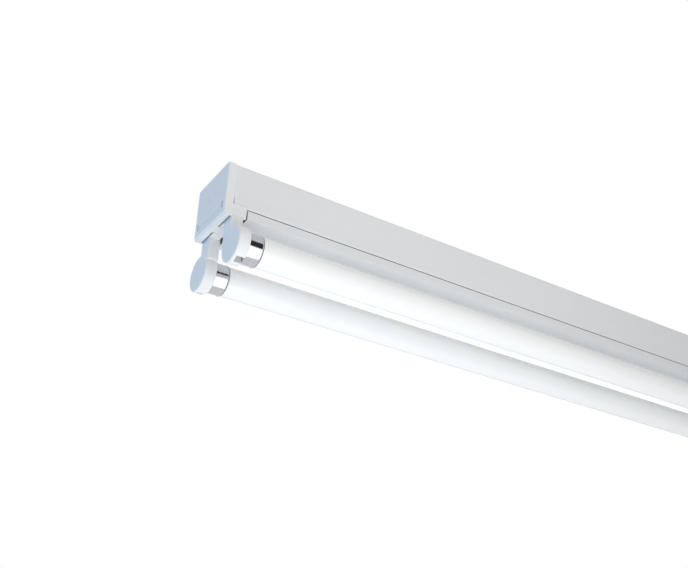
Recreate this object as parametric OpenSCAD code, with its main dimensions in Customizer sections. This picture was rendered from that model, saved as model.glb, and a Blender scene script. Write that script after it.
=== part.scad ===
// Twin batten light fitting for two straight tube lamps, lying under a ceiling.
// X runs along the fitting, -Y is the front, +Y the rear, and Z = 0 is the ceiling face.

/* [Lamps] */
// Length of a lamp between its two base faces
lamp_l = 1199.4; // [900:0.2:1500]
// Outer diameter of the glass tube
tube_d = 26; // [24.4:0.1:27]
// Wall of the glass tube
tube_wall = 0.8; // [0.6:0.1:1.2]
// Length of the metal ferrule on each end of a lamp
ferrule_l = 12.2; // [10:0.2:16]
// Wall of the ferrule
ferrule_t = 0.3; // [0.2:0.05:0.4]
// Radius on the ferrule's outer edge
ferrule_edge_r = 0.25; // [0.1:0.05:0.25]
// Radius of the rolled bead round the ferrule's open end
ferrule_bead_r = 0.4; // [0.3:0.05:0.5]
// Hole in the ferrule's end that the insulating disc fills
ferrule_hole_d = 20; // [18:0.5:22]
// Thickness of the insulating disc behind the ferrule's end
base_disc_t = 1.8; // [1.2:0.1:2.4]
// Diameter of a lamp pin
pin_d = 2.35; // [2.3:0.01:2.5]
// Distance between the two pins of a base
pin_pitch = 12.7; // [12:0.1:13.4]
// Length of a pin beyond the base face
pin_l = 7.1; // [6.6:0.1:7.4]
// Distance between the axes of the two lamps
lamp_spacing = 60.4; // [58:0.2:68]
// Depth of the lamp axes below the ceiling
lamp_drop = 76.4; // [74:0.2:82]

/* [Inside a lamp] */
// Width of the strip board that carries the light sources
board_w = 10; // [8:0.5:12]
// Thickness of the strip board
board_t = 1; // [0.8:0.1:1.6]
// Number of light sources on a board
chip_count = 48; // [12:4:96]
// Length of one light source
chip_l = 3.5; // [2.8:0.1:5]
// Width of one light source
chip_w = 2.8; // [2:0.1:3.5]
// Height of one light source
chip_h = 0.8; // [0.5:0.1:1.2]
// Length of the power supply board inside the lamp
supply_l = 62; // [50:1:80]
// Depth of the power supply board below the lamp axis
supply_drop = 4; // [3:0.5:6]
// Diameter of the smoothing capacitor
capacitor_d = 8; // [6:0.5:9]
// Length of the smoothing capacitor
capacitor_l = 16; // [12:1:20]
// Edge of the transformer block
transformer_w = 11; // [9:0.5:12]

/* [Housing] */
// Width of the housing
body_w = 58; // [56:0.5:64]
// Depth of the housing from the ceiling to its underside
body_h = 49; // [48:0.2:52]
// Depth from the ceiling to the joint between spine and cover
spine_h = 39.8; // [39.2:0.2:41.4]
// Thickness of the sheet steel
sheet_t = 0.8; // [0.6:0.1:1]
// Inner radius of the folds in the spine
fold_r = 1.2; // [0.6:0.1:1.4]
// Width of the lip turned in along each lower edge of the spine
lip_w = 7.5; // [7:0.5:9]

/* [Cover] */
// Inner radius of the folds in the cover
cover_fold_r = 0.6; // [0.3:0.1:0.8]
// Width of the flange turned in along each upper edge of the cover
cover_flange_w = 5; // [4:0.5:7]
// Open gap between a lampholder and the end of the cover
cover_gap = 2.7; // [2.5:0.1:4]

/* [End caps] */
// Wall of the moulded end cap
cap_wall = 2; // [1.6:0.1:2.4]
// Length of the cap along the sides of the housing
cap_wing_l = 7; // [6.6:0.1:7.4]
// Length of the cap along its two lower corners
cap_corner_l = 19.6; // [18:0.1:19.6]
// Depth from the ceiling to the top of the lower corners
cap_corner_top = 38; // [36:0.1:38.4]
// Radius on the upright edges of the cap
cap_edge_r = 1.5; // [1:0.5:4.5]
// Radius on the lower long edges of the cap
cap_under_r = 1.2; // [0.6:0.1:1.4]
// Height of the bevel along the cap's lower end edge
cap_bevel_h = 2.1; // [1:0.1:2.6]
// Length of the bevel along the cap's lower end edge
cap_bevel_l = 1.6; // [1:0.1:1.8]
// Wall outside each lampholder foot
foot_wall = 2.4; // [1.8:0.1:2.6]
// Half width of the web between the two lampholder feet
web_half = 5.2; // [3.5:0.1:5.6]
// Distance from the end face to the openings for the lampholder feet
foot_slot_x = 5.9; // [5.2:0.1:6]
// Thickness of the rails that the feet slide on
rail_t = 1.4; // [1:0.1:1.6]
// Reach of the rails into the opening
rail_w = 1.2; // [0.8:0.1:1.4]
// Length of the ribs that plug into the spine
spigot_l = 8; // [6:0.5:9]
// Thickness of the ribs that plug into the spine
spigot_t = 1.6; // [1.2:0.1:1.8]
// Width of the spring finger that snaps over the spine's lip
finger_w = 3; // [2:0.5:3.5]
// Thickness of the spring finger
finger_t = 1.6; // [1.2:0.1:2]
// Depth of the grooves in the end face
groove_depth = 0.5; // [0.3:0.1:0.8]
// Depth of the long groove below the ceiling
line_drop = 40; // [38:0.2:42]
// Length of the upright groove
upright_l = 8.6; // [6:0.2:12]
// Height of the two windows for the lampholder's wires
window_h = 6.9; // [5:0.1:8]

/* [Lampholders] */
// Distance from the end face to the outer face of a lampholder
holder_x = 7.4; // [7:0.1:7.6]
// Thickness of a lampholder along the lamp
holder_t = 10.6; // [10.4:0.1:11]
// Radius of the round head of a lampholder
head_r = 16.1; // [15:0.1:18]
// Width of the neck between foot and head
neck_w = 14.4; // [13:0.1:14.8]
// Height of the neck's lower corner above the lamp axis
neck_rise = 8.6; // [6:0.2:10]
// How far the neck stands in from the side of the housing
neck_inset = 1; // [0.8:0.1:2]
// Radius on the outer edges of head and neck
holder_edge_r = 1.4; // [0.3:0.1:1.5]
// Thickness of the back plate
back_t = 1.8; // [1.6:0.1:2]
// Thickness of the foot plate that shows in the underside
foot_t = 2.2; // [1.8:0.1:2.6]
// Thickness of the flange above the rails
foot_flange_t = 1.5; // [1:0.1:2]
// Depth from the ceiling to the top of the lampholder
holder_top = 34; // [32:0.5:36]
// Width of the mouth that lets the pins in
mouth_w = 6.6; // [5:0.2:7.4]
// Thickness of the rotor's inner flange
rotor_flange_t = 1.8; // [1.2:0.1:2]
// Reach of the rotor's inner flange beyond its core
rotor_flange_w = 1.4; // [1:0.1:1.6]
// Thickness of the spring contact
contact_t = 0.5; // [0.4:0.05:0.6]
// Width of the spring contact
contact_w = 4; // [3:0.2:4.4]

/* [Cover fasteners] */
// Distance from each end face to the nearest cover fastener
fastener_x = 430; // [300:1:440]
// Diameter of the fastener's head
fastener_head_d = 22; // [16:0.5:24]
// Height of the fastener's head
fastener_head_h = 1.6; // [1.2:0.1:2.4]
// Diameter of the fastener's shank
fastener_shank_d = 4.2; // [3.6:0.2:5]
// Length of the bar across the fastener's tip
fastener_bar_l = 11; // [9:0.5:13]
// Width of the bar across the fastener's tip
fastener_bar_w = 2.6; // [2:0.1:3.2]
// Height of the bar across the fastener's tip
fastener_bar_h = 2; // [1.5:0.1:3]
// Width of the screwdriver slot
driver_slot_w = 1.3; // [1:0.1:1.6]
// Depth of the screwdriver slot
driver_slot_h = 0.9; // [0.6:0.1:1]
// Length of the bridge along the fitting
bridge_l = 26; // [20:1:34]
// Height of the bridge's turned up edges
bridge_edge_h = 5; // [4:0.5:8]
// Thickness of the spring washer that keeps the fastener in the cover
washer_t = 0.6; // [0.4:0.1:0.8]

/* [Ceiling fixing and cable entry] */
// Distance between the two ceiling slots
slot_spacing = 700; // [500:10:760]
// Width of a ceiling slot
slot_w = 6.5; // [5:0.5:8]
// Length of a ceiling slot from end to end
slot_l = 16; // [12:1:20]
// Place of the cable entry along the fitting
entry_x = 80; // [70:1:120]
// Diameter of the cable entry in the spine
entry_d = 20; // [18:0.5:22]
// Diameter of the hole in the grommet
grommet_bore_d = 10; // [8:0.5:12]
// Distance between the two holes for a ceiling box
box_spacing = 50.8; // [46:0.2:60]
// Diameter of the holes for a ceiling box
box_hole_d = 4.5; // [4:0.1:5.5]

/* [Wiring] */
// Place of the terminal block along the fitting
terminal_x = -60; // [-70:1:-50]
// Distance between the poles of the terminal block
pole_pitch = 8; // [7:0.5:9]
// Length of the terminal block along the fitting
terminal_l = 20; // [18:1:26]
// Height of the terminal block
terminal_h = 13; // [12:0.5:16]
// Diameter of an insulated wire
wire_d = 2.4; // [2:0.1:2.6]
// Distance of the wires from the middle of the spine
wire_y = 17; // [15:0.5:18]
// Place of the earth stud along the fitting
earth_x = -100; // [-120:1:-95]
// Diameter of the earth stud
earth_d = 4; // [3:0.5:5]
// Length of the earth stud
earth_l = 12; // [10:0.5:16]

/* [Clearances] */
// Radial clearance of a turning shaft in its hole
turn_clear = 0.08; // [0.03:0.01:0.1]
// Clearance between moulded pieces that slide together
slide_clear = 0.2; // [0.15:0.05:0.25]
// Seam between the end cap and the spine
seam = 0.15; // [0.1:0.05:0.25]
// Open joint between the spine's lips and the cover's flanges
joint_gap = 0.3; // [0.2:0.05:0.4]
// Gap between a lampholder and the lamp's base face
lamp_gap = 0.3; // [0.2:0.1:0.5]
// Gap between a glass tube and its ferrule
glue_gap = 0.05; // [0.03:0.01:0.1]

/* [Hidden] */
$fn = 64;
cut = 1;

// Lamp and overall lengths
lamp_base_x = holder_x + holder_t + lamp_gap;
body_l = lamp_l + 2 * lamp_base_x;
lamp_y = lamp_spacing / 2;
ferrule_r = tube_d / 2 + glue_gap + ferrule_t;
tube_bore_r = tube_d / 2 - tube_wall;
tube_start = ferrule_t + base_disc_t + slide_clear;

// Housing sections
spine_fold = fold_r + sheet_t;
cover_fold = cover_fold_r + sheet_t;
cover_h = body_h - spine_h - joint_gap;
cover_x = holder_x + holder_t + cover_gap;
side_inner = body_w / 2 - sheet_t;
lip_top = spine_h - sheet_t;

// Lampholder foot between web and wall of the end cap
opening_out = body_w / 2 - foot_wall;
foot_in = web_half + slide_clear;
foot_out = opening_out - slide_clear;
neck_out = body_w / 2 - neck_inset;
neck_in = neck_out - neck_w;
neck_mid = (neck_in + neck_out) / 2;
rail_low = body_h - foot_t - slide_clear / 2;
groove_top = rail_low - rail_t - slide_clear / 2;

// The mouth points from the middle of the neck through the lamp axis
tilt = atan2(lamp_y - neck_mid, lamp_drop - body_h);

// Rotor and contacts, measured along the lamp from the end face
rotor_core_r = pin_pitch / 2 + pin_d / 2 + 0.12;
rotor_flange_r = rotor_core_r + rotor_flange_w;
chamber_x = holder_x + back_t;
chamber_l = rotor_flange_t + 2 * slide_clear;
mouth_x = chamber_x + 1;
rotor_x = chamber_x + slide_clear;
rotor_end = holder_x + holder_t - slide_clear;
pin_tip_x = lamp_base_x - pin_l;
contact_x = chamber_x + chamber_l + slide_clear;
contact_clear = 0.3;
leaf_b = rotor_core_r + turn_clear + 0.15 + contact_t / 2;
leaf_low = 4;
leaf_high = 5.5;
contact_half = 3;
contact_mid = neck_mid - 2;
contact_join = lamp_drop - 14.8;
contact_top = holder_top + 4;
tower_half = contact_half + contact_t / 2 + contact_clear + 1.1;

// Snap finger and its hole in the spine's lip
finger_y = contact_mid + tower_half + 2 * slide_clear;
peg_x = cap_corner_l + 2.5;
peg_l = 2;

// Cover fastener
bridge_t = 1.2;
bridge_top = lip_top - bridge_t;
bridge_half = side_inner - 1.5;
bar_low = bridge_top - slide_clear;
washer_r = fastener_shank_d / 2 + 2.4;

// Wiring
wire_run_z = sheet_t + wire_d / 2 + 1.3;
terminal_w = 3 * pole_pitch + 2;
pole_hole_d = 3;
pole_drop = 7;
clip_w = wire_d + 3;
clip_l = 7;
wire_overrun = 1.1;
stud_flange_h = 1.2;
washer_h = 0.8;
nut_h = 3;
nut_r = 0.95 * earth_d;

// Frames
module at_end(end) {
    mirror([end > 0 ? 1 : 0, 0, 0])
        translate([-body_l / 2, 0, 0])
            children();
}

module at_holder(end, side) {
    at_end(end)
        mirror([0, side < 0 ? 1 : 0, 0])
            children();
}

module at_lamp(side) {
    mirror([0, side < 0 ? 1 : 0, 0])
        translate([0, lamp_y, -lamp_drop])
            rotate([tilt, 0, 0])
                children();
}

module at_lamp_base(end, side) {
    mirror([end > 0 ? 1 : 0, 0, 0])
        at_lamp(side)
            translate([-lamp_l / 2, 0, 0])
                children();
}

// A section drawn as across and up, drawn out along X
module along_x(length) {
    rotate([90, 0, 90])
        linear_extrude(length)
            children();
}

// A side view drawn as along and up, drawn out across Y about the middle
module across_y(width) {
    rotate([90, 0, 0])
        linear_extrude(width, center = true)
            children();
}

module rod_x(r, length) {
    rotate([0, 90, 0])
        cylinder(r = r, h = length);
}

// Quarter ring of sheet between two straight runs of a fold
module fold_corner(r_in, t) {
    intersection() {
        difference() {
            circle(r = r_in + t);
            circle(r = r_in);
        }
        square(r_in + t);
    }
}

// Section of folded sheet. Each run is its straight length and the turn after it:
// 1 turns to the left, -1 to the right, and the last run has 0.
module folded_sheet(runs, t, r_in, i = 0) {
    length = runs[i][0];
    turn = runs[i][1];
    square([length, t]);
    if (turn > 0) {
        translate([length, t + r_in])
            rotate(-90)
                fold_corner(r_in, t);
        translate([length + r_in + t, r_in + t])
            rotate(90)
                folded_sheet(runs, t, r_in, i + 1);
    }
    if (turn < 0) {
        translate([length, -r_in])
            fold_corner(r_in, t);
        translate([length + r_in, -r_in])
            rotate(-90)
                folded_sheet(runs, t, r_in, i + 1);
    }
}

// Rectangle along x, about the middle in y, with both corners at x = 0 rounded
module front_rounded(length, width, r) {
    translate([r, -width / 2])
        square([length - r, width]);
    translate([0, r - width / 2])
        square([length, width - 2 * r]);
    for (side = [-1, 1])
        translate([r, side * (width / 2 - r)])
            circle(r = r);
}

// Direction of the run of a path that starts at point i, and the mitred offset at point i
function run_angle(points, i) = let (step = points[i + 1] - points[i]) atan2(step[1], step[0]);
function mitre_point(points, i, off) = let (
    last = len(points) - 1,
    before = run_angle(points, max(i - 1, 0)),
    after = run_angle(points, min(i, last - 1)),
    half = (((after - before + 540) % 360) - 180) / 2,
    turned = before + half + 90)
    points[i] + off / cos(half) * [cos(turned), sin(turned)];

// Flat strip of thickness t along a list of points, mitred at its bends
module strip(points, t) {
    last = len(points) - 1;
    polygon(concat([for (i = [0:last]) mitre_point(points, i, t / 2)],
        [for (i = [last:-1:0]) mitre_point(points, i, -t / 2)]));
}

// Reach of a run past its bend at point i, so that both runs close the outside of the bend
function bend_reach(points, i, d) = let (
    before = points[i] - points[max(i - 1, 0)],
    after = points[min(i + 1, len(points) - 1)] - points[i])
    norm(before) * norm(after) == 0 ? 0 :
    wire_overrun * d / 2 * tan(acos(before * after / (norm(before) * norm(after))) / 2);

// Wire along a list of points, in twelve sided runs
module wire(points, d) {
    for (i = [0:len(points) - 2]) {
        step = points[i + 1] - points[i];
        back = bend_reach(points, i, d);
        translate(points[i])
            rotate([0, acos(step[2] / norm(step)), atan2(step[1], step[0])])
                translate([0, 0, -back])
                    cylinder(d = d, h = norm(step) + back + bend_reach(points, i + 1, d), $fn = 12);
    }
}

// Spine: one folded sheet, open below, with a lip along each lower edge
module spine_section() {
    lip_run = lip_w - spine_fold;
    side_run = spine_h - 2 * spine_fold;
    top_run = body_w - 2 * spine_fold;
    translate([body_w / 2 - lip_w, -spine_h])
        folded_sheet([[lip_run, 1], [side_run, 1], [top_run, 1], [side_run, 1], [lip_run, 0]],
            sheet_t, fold_r);
}

module spine_end_cuts() {
    corner_cut = cap_corner_l + seam;
    relief_w = 0.8;
    relief_h = 5.5;
    translate([0, -body_w, -spine_h - cut])
        cube([corner_cut, 2 * body_w, spine_h + cut - cap_corner_top]);
    for (side = [-1, 1]) {
        translate([cap_wing_l - cut, side * body_w / 2 - 2 * sheet_t, -cap_corner_top - cut])
            cube([relief_w + cut, 4 * sheet_t, relief_h + cut]);
        translate([peg_x - slide_clear, side * (finger_y + finger_w / 2), -spine_h - cut])
            translate([0, -finger_w / 2 - slide_clear, 0])
                cube([peg_l + 2 * slide_clear, finger_w + 2 * slide_clear, sheet_t + 2 * cut]);
    }
}

module slot_cut(length, width) {
    translate([0, 0, -sheet_t - cut])
        linear_extrude(sheet_t + 2 * cut) {
            square([length - width, width], center = true);
            for (end = [-1, 1])
                translate([end * (length - width) / 2, 0])
                    circle(d = width);
        }
}

module spine() {
    spine_l = body_l - 2 * cap_wing_l;
    color("whitesmoke")
        difference() {
            translate([-spine_l / 2, 0, 0])
                along_x(spine_l)
                    spine_section();
            for (end = [-1, 1]) {
                at_end(end)
                    spine_end_cuts();
                translate([end * slot_spacing / 2, 0, 0])
                    slot_cut(slot_l, slot_w);
                translate([entry_x + end * box_spacing / 2, 0, -sheet_t - cut])
                    cylinder(d = box_hole_d, h = sheet_t + 2 * cut);
            }
            translate([entry_x, 0, -sheet_t - cut])
                cylinder(d = entry_d, h = sheet_t + 2 * cut);
        }
}

// End cap: a moulded cup with wings, two openings for the lampholder feet and snap fingers
module cap_outer() {
    corner_z = cap_corner_top + seam;
    intersection() {
        translate([0, 0, -body_h])
            linear_extrude(body_h)
                front_rounded(cap_corner_l, body_w, cap_edge_r);
        along_x(cap_corner_l) {
            translate([-body_w / 2, cap_under_r - body_h])
                square([body_w, body_h - cap_under_r]);
            translate([cap_under_r - body_w / 2, -body_h])
                square([body_w - 2 * cap_under_r, body_h]);
            for (side = [-1, 1])
                translate([side * (body_w / 2 - cap_under_r), cap_under_r - body_h])
                    circle(r = cap_under_r);
        }
        across_y(body_w)
            polygon([[0, 0], [cap_wing_l, 0], [cap_wing_l, -corner_z], [cap_corner_l, -corner_z],
                [cap_corner_l, -body_h], [cap_bevel_l, -body_h], [0, cap_bevel_h - body_h]]);
    }
}

module cap_hollow() {
    inner_w = body_w - 2 * cap_wall;
    inner_r = max(cap_edge_r - cap_wall, 0.5);
    web_h = body_h - groove_top + foot_flange_t + slide_clear / 2;
    translate([cap_wall, 0, cap_wall - body_h])
        linear_extrude(body_h - 2 * cap_wall)
            front_rounded(cap_corner_l, inner_w, inner_r);
    for (side = [-1, 1])
        mirror([0, side < 0 ? 1 : 0, 0])
            translate([foot_slot_x, web_half, -body_h - cut])
                cube([cap_corner_l, opening_out - web_half, web_h + cut]);
}

module cap_rails() {
    rail_l = holder_x + holder_t - foot_slot_x;
    for (y = [web_half - cut, opening_out - rail_w])
        translate([foot_slot_x, y, -rail_low])
            cube([rail_l, rail_w + cut, rail_t]);
}

module cap_web() {
    core_half = web_half - 1.5;
    web_h = body_h - groove_top;
    difference() {
        translate([cap_wall - cut / 2, -web_half, -body_h])
            cube([cap_corner_l - cap_wall + cut / 2, 2 * web_half, web_h]);
        translate([cap_wall, -core_half, cap_wall - body_h])
            cube([cap_corner_l, 2 * core_half, web_h]);
    }
}

module cap_spigots() {
    rib_y = side_inner - slide_clear - spigot_t;
    rib_top = 6;
    rib_low = cap_corner_top - 2;
    for (side = [-1, 1])
        mirror([0, side < 0 ? 1 : 0, 0])
            translate([cap_wall - cut / 2, rib_y, -rib_low])
                cube([cap_wing_l + spigot_l - cap_wall, spigot_t, rib_low - rib_top]);
    translate([cap_wall - cut / 2, -12, -sheet_t - slide_clear - spigot_t])
        cube([cap_wing_l + spigot_l - cap_wall, 24, spigot_t]);
}

module cap_finger() {
    finger_low = lip_top - slide_clear;
    translate([cap_wall - cut / 2, finger_y, -finger_low])
        cube([peg_x + peg_l - cap_wall + cut / 2, finger_w, finger_t]);
    translate([peg_x, finger_y, -spine_h + slide_clear / 2])
        cube([peg_l, finger_w, sheet_t + slide_clear]);
}

module cap_face_cuts() {
    groove_w = 0.9;
    window_w = 1.6;
    window_top = 34.9;
    window_y = 22.6;
    line_front = 12.6;
    line_rear = 20;
    upright_y = 5.1;
    upright_top = 15.4;
    dimple_y = 16.9;
    dimple_r = 1.2;
    translate([-cut, upright_y - groove_w / 2, -upright_top - upright_l])
        cube([cut + groove_depth, groove_w, upright_l]);
    translate([-cut, -line_front, -line_drop - groove_w / 2])
        cube([cut + groove_depth, line_front + line_rear, groove_w]);
    translate([-cut, -dimple_y, -line_drop - groove_w])
        rod_x(dimple_r, cut + groove_depth);
    for (side = [-1, 1])
        translate([-cut, side * window_y - window_w / 2, -window_top - window_h])
            cube([cap_wall + 2 * cut, window_w, window_h]);
}

module end_cap(end) {
    color("white")
        at_end(end)
            difference() {
                union() {
                    difference() {
                        cap_outer();
                        cap_hollow();
                    }
                    cap_web();
                    cap_spigots();
                    for (side = [0, 1])
                        mirror([0, side, 0]) {
                            cap_rails();
                            cap_finger();
                        }
                }
                cap_face_cuts();
            }
}

// Cover: one folded tray whose flanges lie under the lips of the spine
module cover_section() {
    flange_run = cover_flange_w - cover_fold;
    side_run = cover_h - 2 * cover_fold;
    floor_run = body_w - 2 * cover_fold;
    translate([body_w / 2 - cover_flange_w, -spine_h - joint_gap - sheet_t])
        folded_sheet([[flange_run, -1], [side_run, -1], [floor_run, -1], [side_run, -1],
            [flange_run, 0]], sheet_t, cover_fold_r);
}

module cover() {
    cover_l = body_l - 2 * cover_x;
    color("whitesmoke")
        difference() {
            translate([-cover_l / 2, 0, 0])
                along_x(cover_l)
                    cover_section();
            for (end = [-1, 1])
                at_end(end)
                    translate([fastener_x, 0, -body_h - cut])
                        cylinder(r = fastener_shank_d / 2 + turn_clear, h = sheet_t + 2 * cut);
        }
}

// Bridge: a folded strap on the spine's lips with a key slot for the fastener's bar
module bridge(end) {
    edge_run = bridge_edge_h - bridge_t - fold_r;
    floor_run = bridge_l - 2 * (bridge_t + fold_r);
    color("gainsboro")
        at_end(end)
            translate([fastener_x, 0, -lip_top])
                difference() {
                    across_y(2 * bridge_half)
                        translate([-bridge_l / 2, bridge_edge_h])
                            rotate(-90)
                                folded_sheet([[edge_run, 1], [floor_run, 1], [edge_run, 0]],
                                    bridge_t, fold_r);
                    translate([0, 0, -cut]) {
                        cylinder(r = fastener_shank_d / 2 + 2 * slide_clear, h = bridge_t + 2 * cut);
                        translate([0, 0, bridge_t / 2 + cut])
                            cube([fastener_bar_l + 0.8, fastener_bar_w + 0.8, bridge_t + 2 * cut],
                                center = true);
                    }
                }
}

// Quarter turn fastener: slotted head, shank and the cross bar that locks over the bridge
module cover_fastener(end) {
    edge = 0.5;
    shank_l = body_h - bar_low;
    color("silver")
        at_end(end)
            translate([fastener_x, 0, -body_h])
                difference() {
                    union() {
                        rotate_extrude()
                            translate([0, -fastener_head_h]) {
                                translate([0, edge])
                                    square([fastener_head_d / 2, fastener_head_h - edge]);
                                square([fastener_head_d / 2 - edge, fastener_head_h]);
                                translate([fastener_head_d / 2 - edge, edge])
                                    circle(r = edge);
                            }
                        cylinder(d = fastener_shank_d, h = shank_l + fastener_bar_h);
                        translate([0, 0, shank_l + fastener_bar_h / 2])
                            cube([fastener_bar_w, fastener_bar_l, fastener_bar_h], center = true);
                    }
                    translate([0, 0, -fastener_head_h])
                        cube([fastener_head_d + cut, driver_slot_w, 2 * driver_slot_h], center = true);
                }
}

module fastener_washer(end) {
    color("silver")
        at_end(end)
            translate([fastener_x, 0, sheet_t + turn_clear - body_h])
                difference() {
                    cylinder(r = washer_r, h = washer_t);
                    translate([0, 0, -cut])
                        cylinder(d = fastener_shank_d, h = washer_t + 2 * cut);
                }
}

// Steps of the eased edge of a lampholder: how far in from the side, how deep from the face
holder_edge = [for (turn = [0:22.5:90]) holder_edge_r * [1 - sin(turn), 1 - cos(turn)]];

// Head and neck, thickness t, with the edge at x = 0 eased
module holder_slab(t) {
    neck_low = lamp_drop - neck_rise;
    last = len(holder_edge) - 1;
    translate([0, lamp_y, -lamp_drop])
        rotate([0, 90, 0])
            rotate_extrude()
                polygon(concat([[0, 0]], [for (e = holder_edge) [head_r - e[0], e[1]]],
                    [[head_r, t], [0, t]]));
    translate([0, neck_mid, -neck_low])
        linear_extrude(neck_low - body_h)
            polygon(concat([for (e = holder_edge) [e[1], neck_w / 2 - e[0]]],
                [[t, neck_w / 2], [t, -neck_w / 2]],
                [for (i = [last:-1:0]) [holder_edge[i][1], holder_edge[i][0] - neck_w / 2]]));
}

module holder_back(end, side) {
    color("white")
        at_holder(end, side)
            translate([holder_x, 0, 0])
                holder_slab(back_t);
}

module holder_foot() {
    foot_w = foot_out - foot_in;
    foot_l = holder_t - 1.5;
    grip = rail_w + slide_clear;
    translate([holder_x, foot_in, -body_h])
        cube([foot_l, foot_w, foot_t]);
    translate([holder_x, foot_in + grip, -body_h])
        cube([foot_l, foot_w - 2 * grip, body_h - groove_top]);
    translate([holder_x, foot_in, -groove_top])
        cube([foot_l, foot_w, foot_flange_t]);
    translate([holder_x + 0.5, contact_mid - tower_half, -groove_top])
        cube([holder_t - 1, 2 * tower_half, groove_top - holder_top]);
}

// A point on the lampholder at b across and a up in the tilted frame of the lamp axis
function on_axis(b, a) = [lamp_y + b * cos(tilt) - a * sin(tilt),
    b * sin(tilt) + a * cos(tilt) - lamp_drop];

contact_path = [
    on_axis(leaf_b, -leaf_low),
    on_axis(leaf_b, leaf_high),
    [neck_mid + contact_half, -contact_join],
    [contact_mid + contact_half, -contact_top - 8],
    [contact_mid + contact_half, -contact_top],
    [contact_mid - contact_half, -contact_top],
    [contact_mid - contact_half, -contact_top - 8],
    [neck_mid - contact_half, -contact_join],
    on_axis(-leaf_b, leaf_high),
    on_axis(-leaf_b, -leaf_low)];

module contact(end, side) {
    color("goldenrod")
        at_holder(end, side)
            translate([contact_x, 0, 0])
                along_x(contact_w)
                    strip(contact_path, contact_t);
}

module holder_body(end, side) {
    pocket_l = contact_x + contact_w + contact_clear - chamber_x;
    color("white")
        at_holder(end, side)
            difference() {
                union() {
                    translate([holder_x + holder_t, 0, 0])
                        mirror([1, 0, 0])
                            holder_slab(holder_t - back_t);
                    holder_foot();
                }
                translate([0, lamp_y, -lamp_drop]) {
                    translate([chamber_x - cut, 0, 0])
                        rod_x(rotor_flange_r + slide_clear, chamber_l + cut);
                    translate([chamber_x, 0, 0])
                        rod_x(rotor_core_r + turn_clear, holder_t);
                    rotate([tilt, 0, 0])
                        translate([mouth_x, -mouth_w / 2, -head_r - cut])
                            cube([holder_t, mouth_w, head_r + cut]);
                }
                translate([chamber_x, 0, 0])
                    along_x(pocket_l)
                        strip(contact_path, contact_t + 2 * contact_clear);
                translate([contact_x + contact_w / 2, contact_mid, -contact_top])
                    cylinder(d = wire_d + slide_clear, h = contact_top);
            }
}

// Rotor: turns with the lamp pins in its slot, which lies across the mouth when locked
module rotor(end, side) {
    slot_w = pin_d + 0.35;
    color("ghostwhite")
        at_holder(end, side)
            translate([0, lamp_y, -lamp_drop])
                rotate([tilt, 0, 0])
                    difference() {
                        union() {
                            translate([rotor_x, 0, 0])
                                rod_x(rotor_flange_r, rotor_flange_t);
                            translate([rotor_x, 0, 0])
                                rod_x(rotor_core_r, rotor_end - rotor_x);
                        }
                        translate([pin_tip_x - contact_clear, -head_r, -slot_w / 2])
                            cube([holder_t, 2 * head_r, slot_w]);
                    }
}

// Lamps
module lamp_tube(side) {
    tube_l = lamp_l - 2 * tube_start;
    color("white", 0.6)
        at_lamp(side)
            translate([-tube_l / 2, 0, 0])
                difference() {
                    rod_x(tube_d / 2, tube_l);
                    translate([-cut, 0, 0])
                        rod_x(tube_bore_r, tube_l + 2 * cut);
                }
}

module ferrule(end, side) {
    edge = ferrule_edge_r;
    color("silver")
        at_lamp_base(end, side)
            rotate([0, 90, 0])
                rotate_extrude()
                    difference() {
                        union() {
                            translate([0, edge])
                                square([ferrule_r, ferrule_l - edge]);
                            square([ferrule_r - edge, ferrule_l]);
                            translate([ferrule_r - edge, edge])
                                circle(r = edge);
                            translate([ferrule_r, ferrule_l - ferrule_bead_r])
                                circle(r = ferrule_bead_r);
                        }
                        translate([0, ferrule_t])
                            square([ferrule_r - ferrule_t, ferrule_l]);
                        translate([0, -cut])
                            square([ferrule_hole_d / 2, ferrule_l]);
                    }
}

module base_disc(end, side) {
    color("gray")
        at_lamp_base(end, side)
            difference() {
                union() {
                    rod_x(ferrule_hole_d / 2, ferrule_t + base_disc_t);
                    translate([ferrule_t, 0, 0])
                        rod_x(ferrule_r - ferrule_t - glue_gap, base_disc_t);
                }
                for (y = [-1, 1])
                    translate([-cut, y * pin_pitch / 2, 0])
                        rod_x(pin_d / 2, holder_t);
            }
}

module lamp_pins(side) {
    pin_whole = pin_l + ferrule_t + base_disc_t + 1;
    color("goldenrod")
        for (end = [-1, 1])
            at_lamp_base(end, side)
                for (y = [-1, 1])
                    translate([-pin_l, y * pin_pitch / 2, 0]) {
                        translate([pin_d / 2, 0, 0])
                            rod_x(pin_d / 2, pin_whole - pin_d / 2);
                        translate([pin_d / 2, 0, 0])
                            sphere(d = pin_d);
                    }
}

board_rise = sqrt(pow(tube_bore_r - glue_gap, 2) - pow(board_w / 2, 2)) - board_t;

module led_board(side) {
    board_l = lamp_l - 2 * ferrule_l;
    color("white")
        at_lamp(side)
            translate([-board_l / 2, -board_w / 2, board_rise])
                cube([board_l, board_w, board_t]);
}

module led_chips(side) {
    span = lamp_l - 2 * ferrule_l - 2 * chip_l;
    pitch = span / chip_count;
    color("khaki")
        at_lamp(side)
            for (i = [0:chip_count - 1])
                translate([(i + 0.5) * pitch - span / 2, 0, board_rise - chip_h / 2])
                    cube([chip_l, chip_w, chip_h], center = true);
}

module lamp_supply(side) {
    supply_t = 1.2;
    half_w = sqrt(pow(tube_bore_r - glue_gap, 2) - pow(supply_drop + supply_t, 2));
    start = tube_start + 3;
    color("darkgreen")
        at_lamp_base(-1, side)
            translate([start, 0, -supply_drop]) {
                translate([0, -half_w, -supply_t])
                    cube([supply_l, 2 * half_w, supply_t]);
                translate([6, 0, capacitor_d / 2 - supply_t / 2])
                    rod_x(capacitor_d / 2, capacitor_l);
                translate([28, -transformer_w / 2, 0])
                    cube([transformer_w, transformer_w, 9]);
                translate([44, -4, 0])
                    cube([6, 8, 4]);
            }
}

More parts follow.
